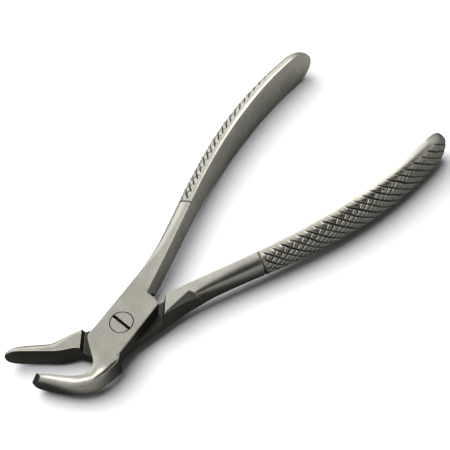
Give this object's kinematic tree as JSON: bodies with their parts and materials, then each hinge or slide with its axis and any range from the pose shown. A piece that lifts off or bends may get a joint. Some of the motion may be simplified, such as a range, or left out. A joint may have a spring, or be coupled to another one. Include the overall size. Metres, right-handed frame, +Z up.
{
  "type": "extraction forceps",
  "caption": "Steel dental extraction forceps for lower teeth: a lap joint with a slotted screw, bowed crosshatched handles and hooked beaks bent to one side.",
  "frame": {"origin": "on the pivot axis, in the plane of the joint's flat underside", "axes": "+X towards the handles, midway between them in the open rest position, +Y to the side that both beaks bend to, +Z up along the pivot axis to the screw's head"},
  "size_m": [0.135, 0.0604, 0.013],
  "materials": {
    "satin_steel": "satin blasted stainless steel, brighter where it is rubbed along edges",
    "screw_steel": "ground stainless steel with a dark milled slot"
  },
  "bodies": {
    "lower_half": {"lower_half": "satin_steel", "pivot_screw": "screw_steel"},
    "upper_half": {"upper_half": "satin_steel"}
  },
  "joints": [
    {"name": "pivot", "type": "hinge", "parent": "lower_half", "child": "upper_half", "pos_m": [0, 0, 0.0036], "axis": [0, 0, 1], "range_deg": [-16, 28]}
  ]
}
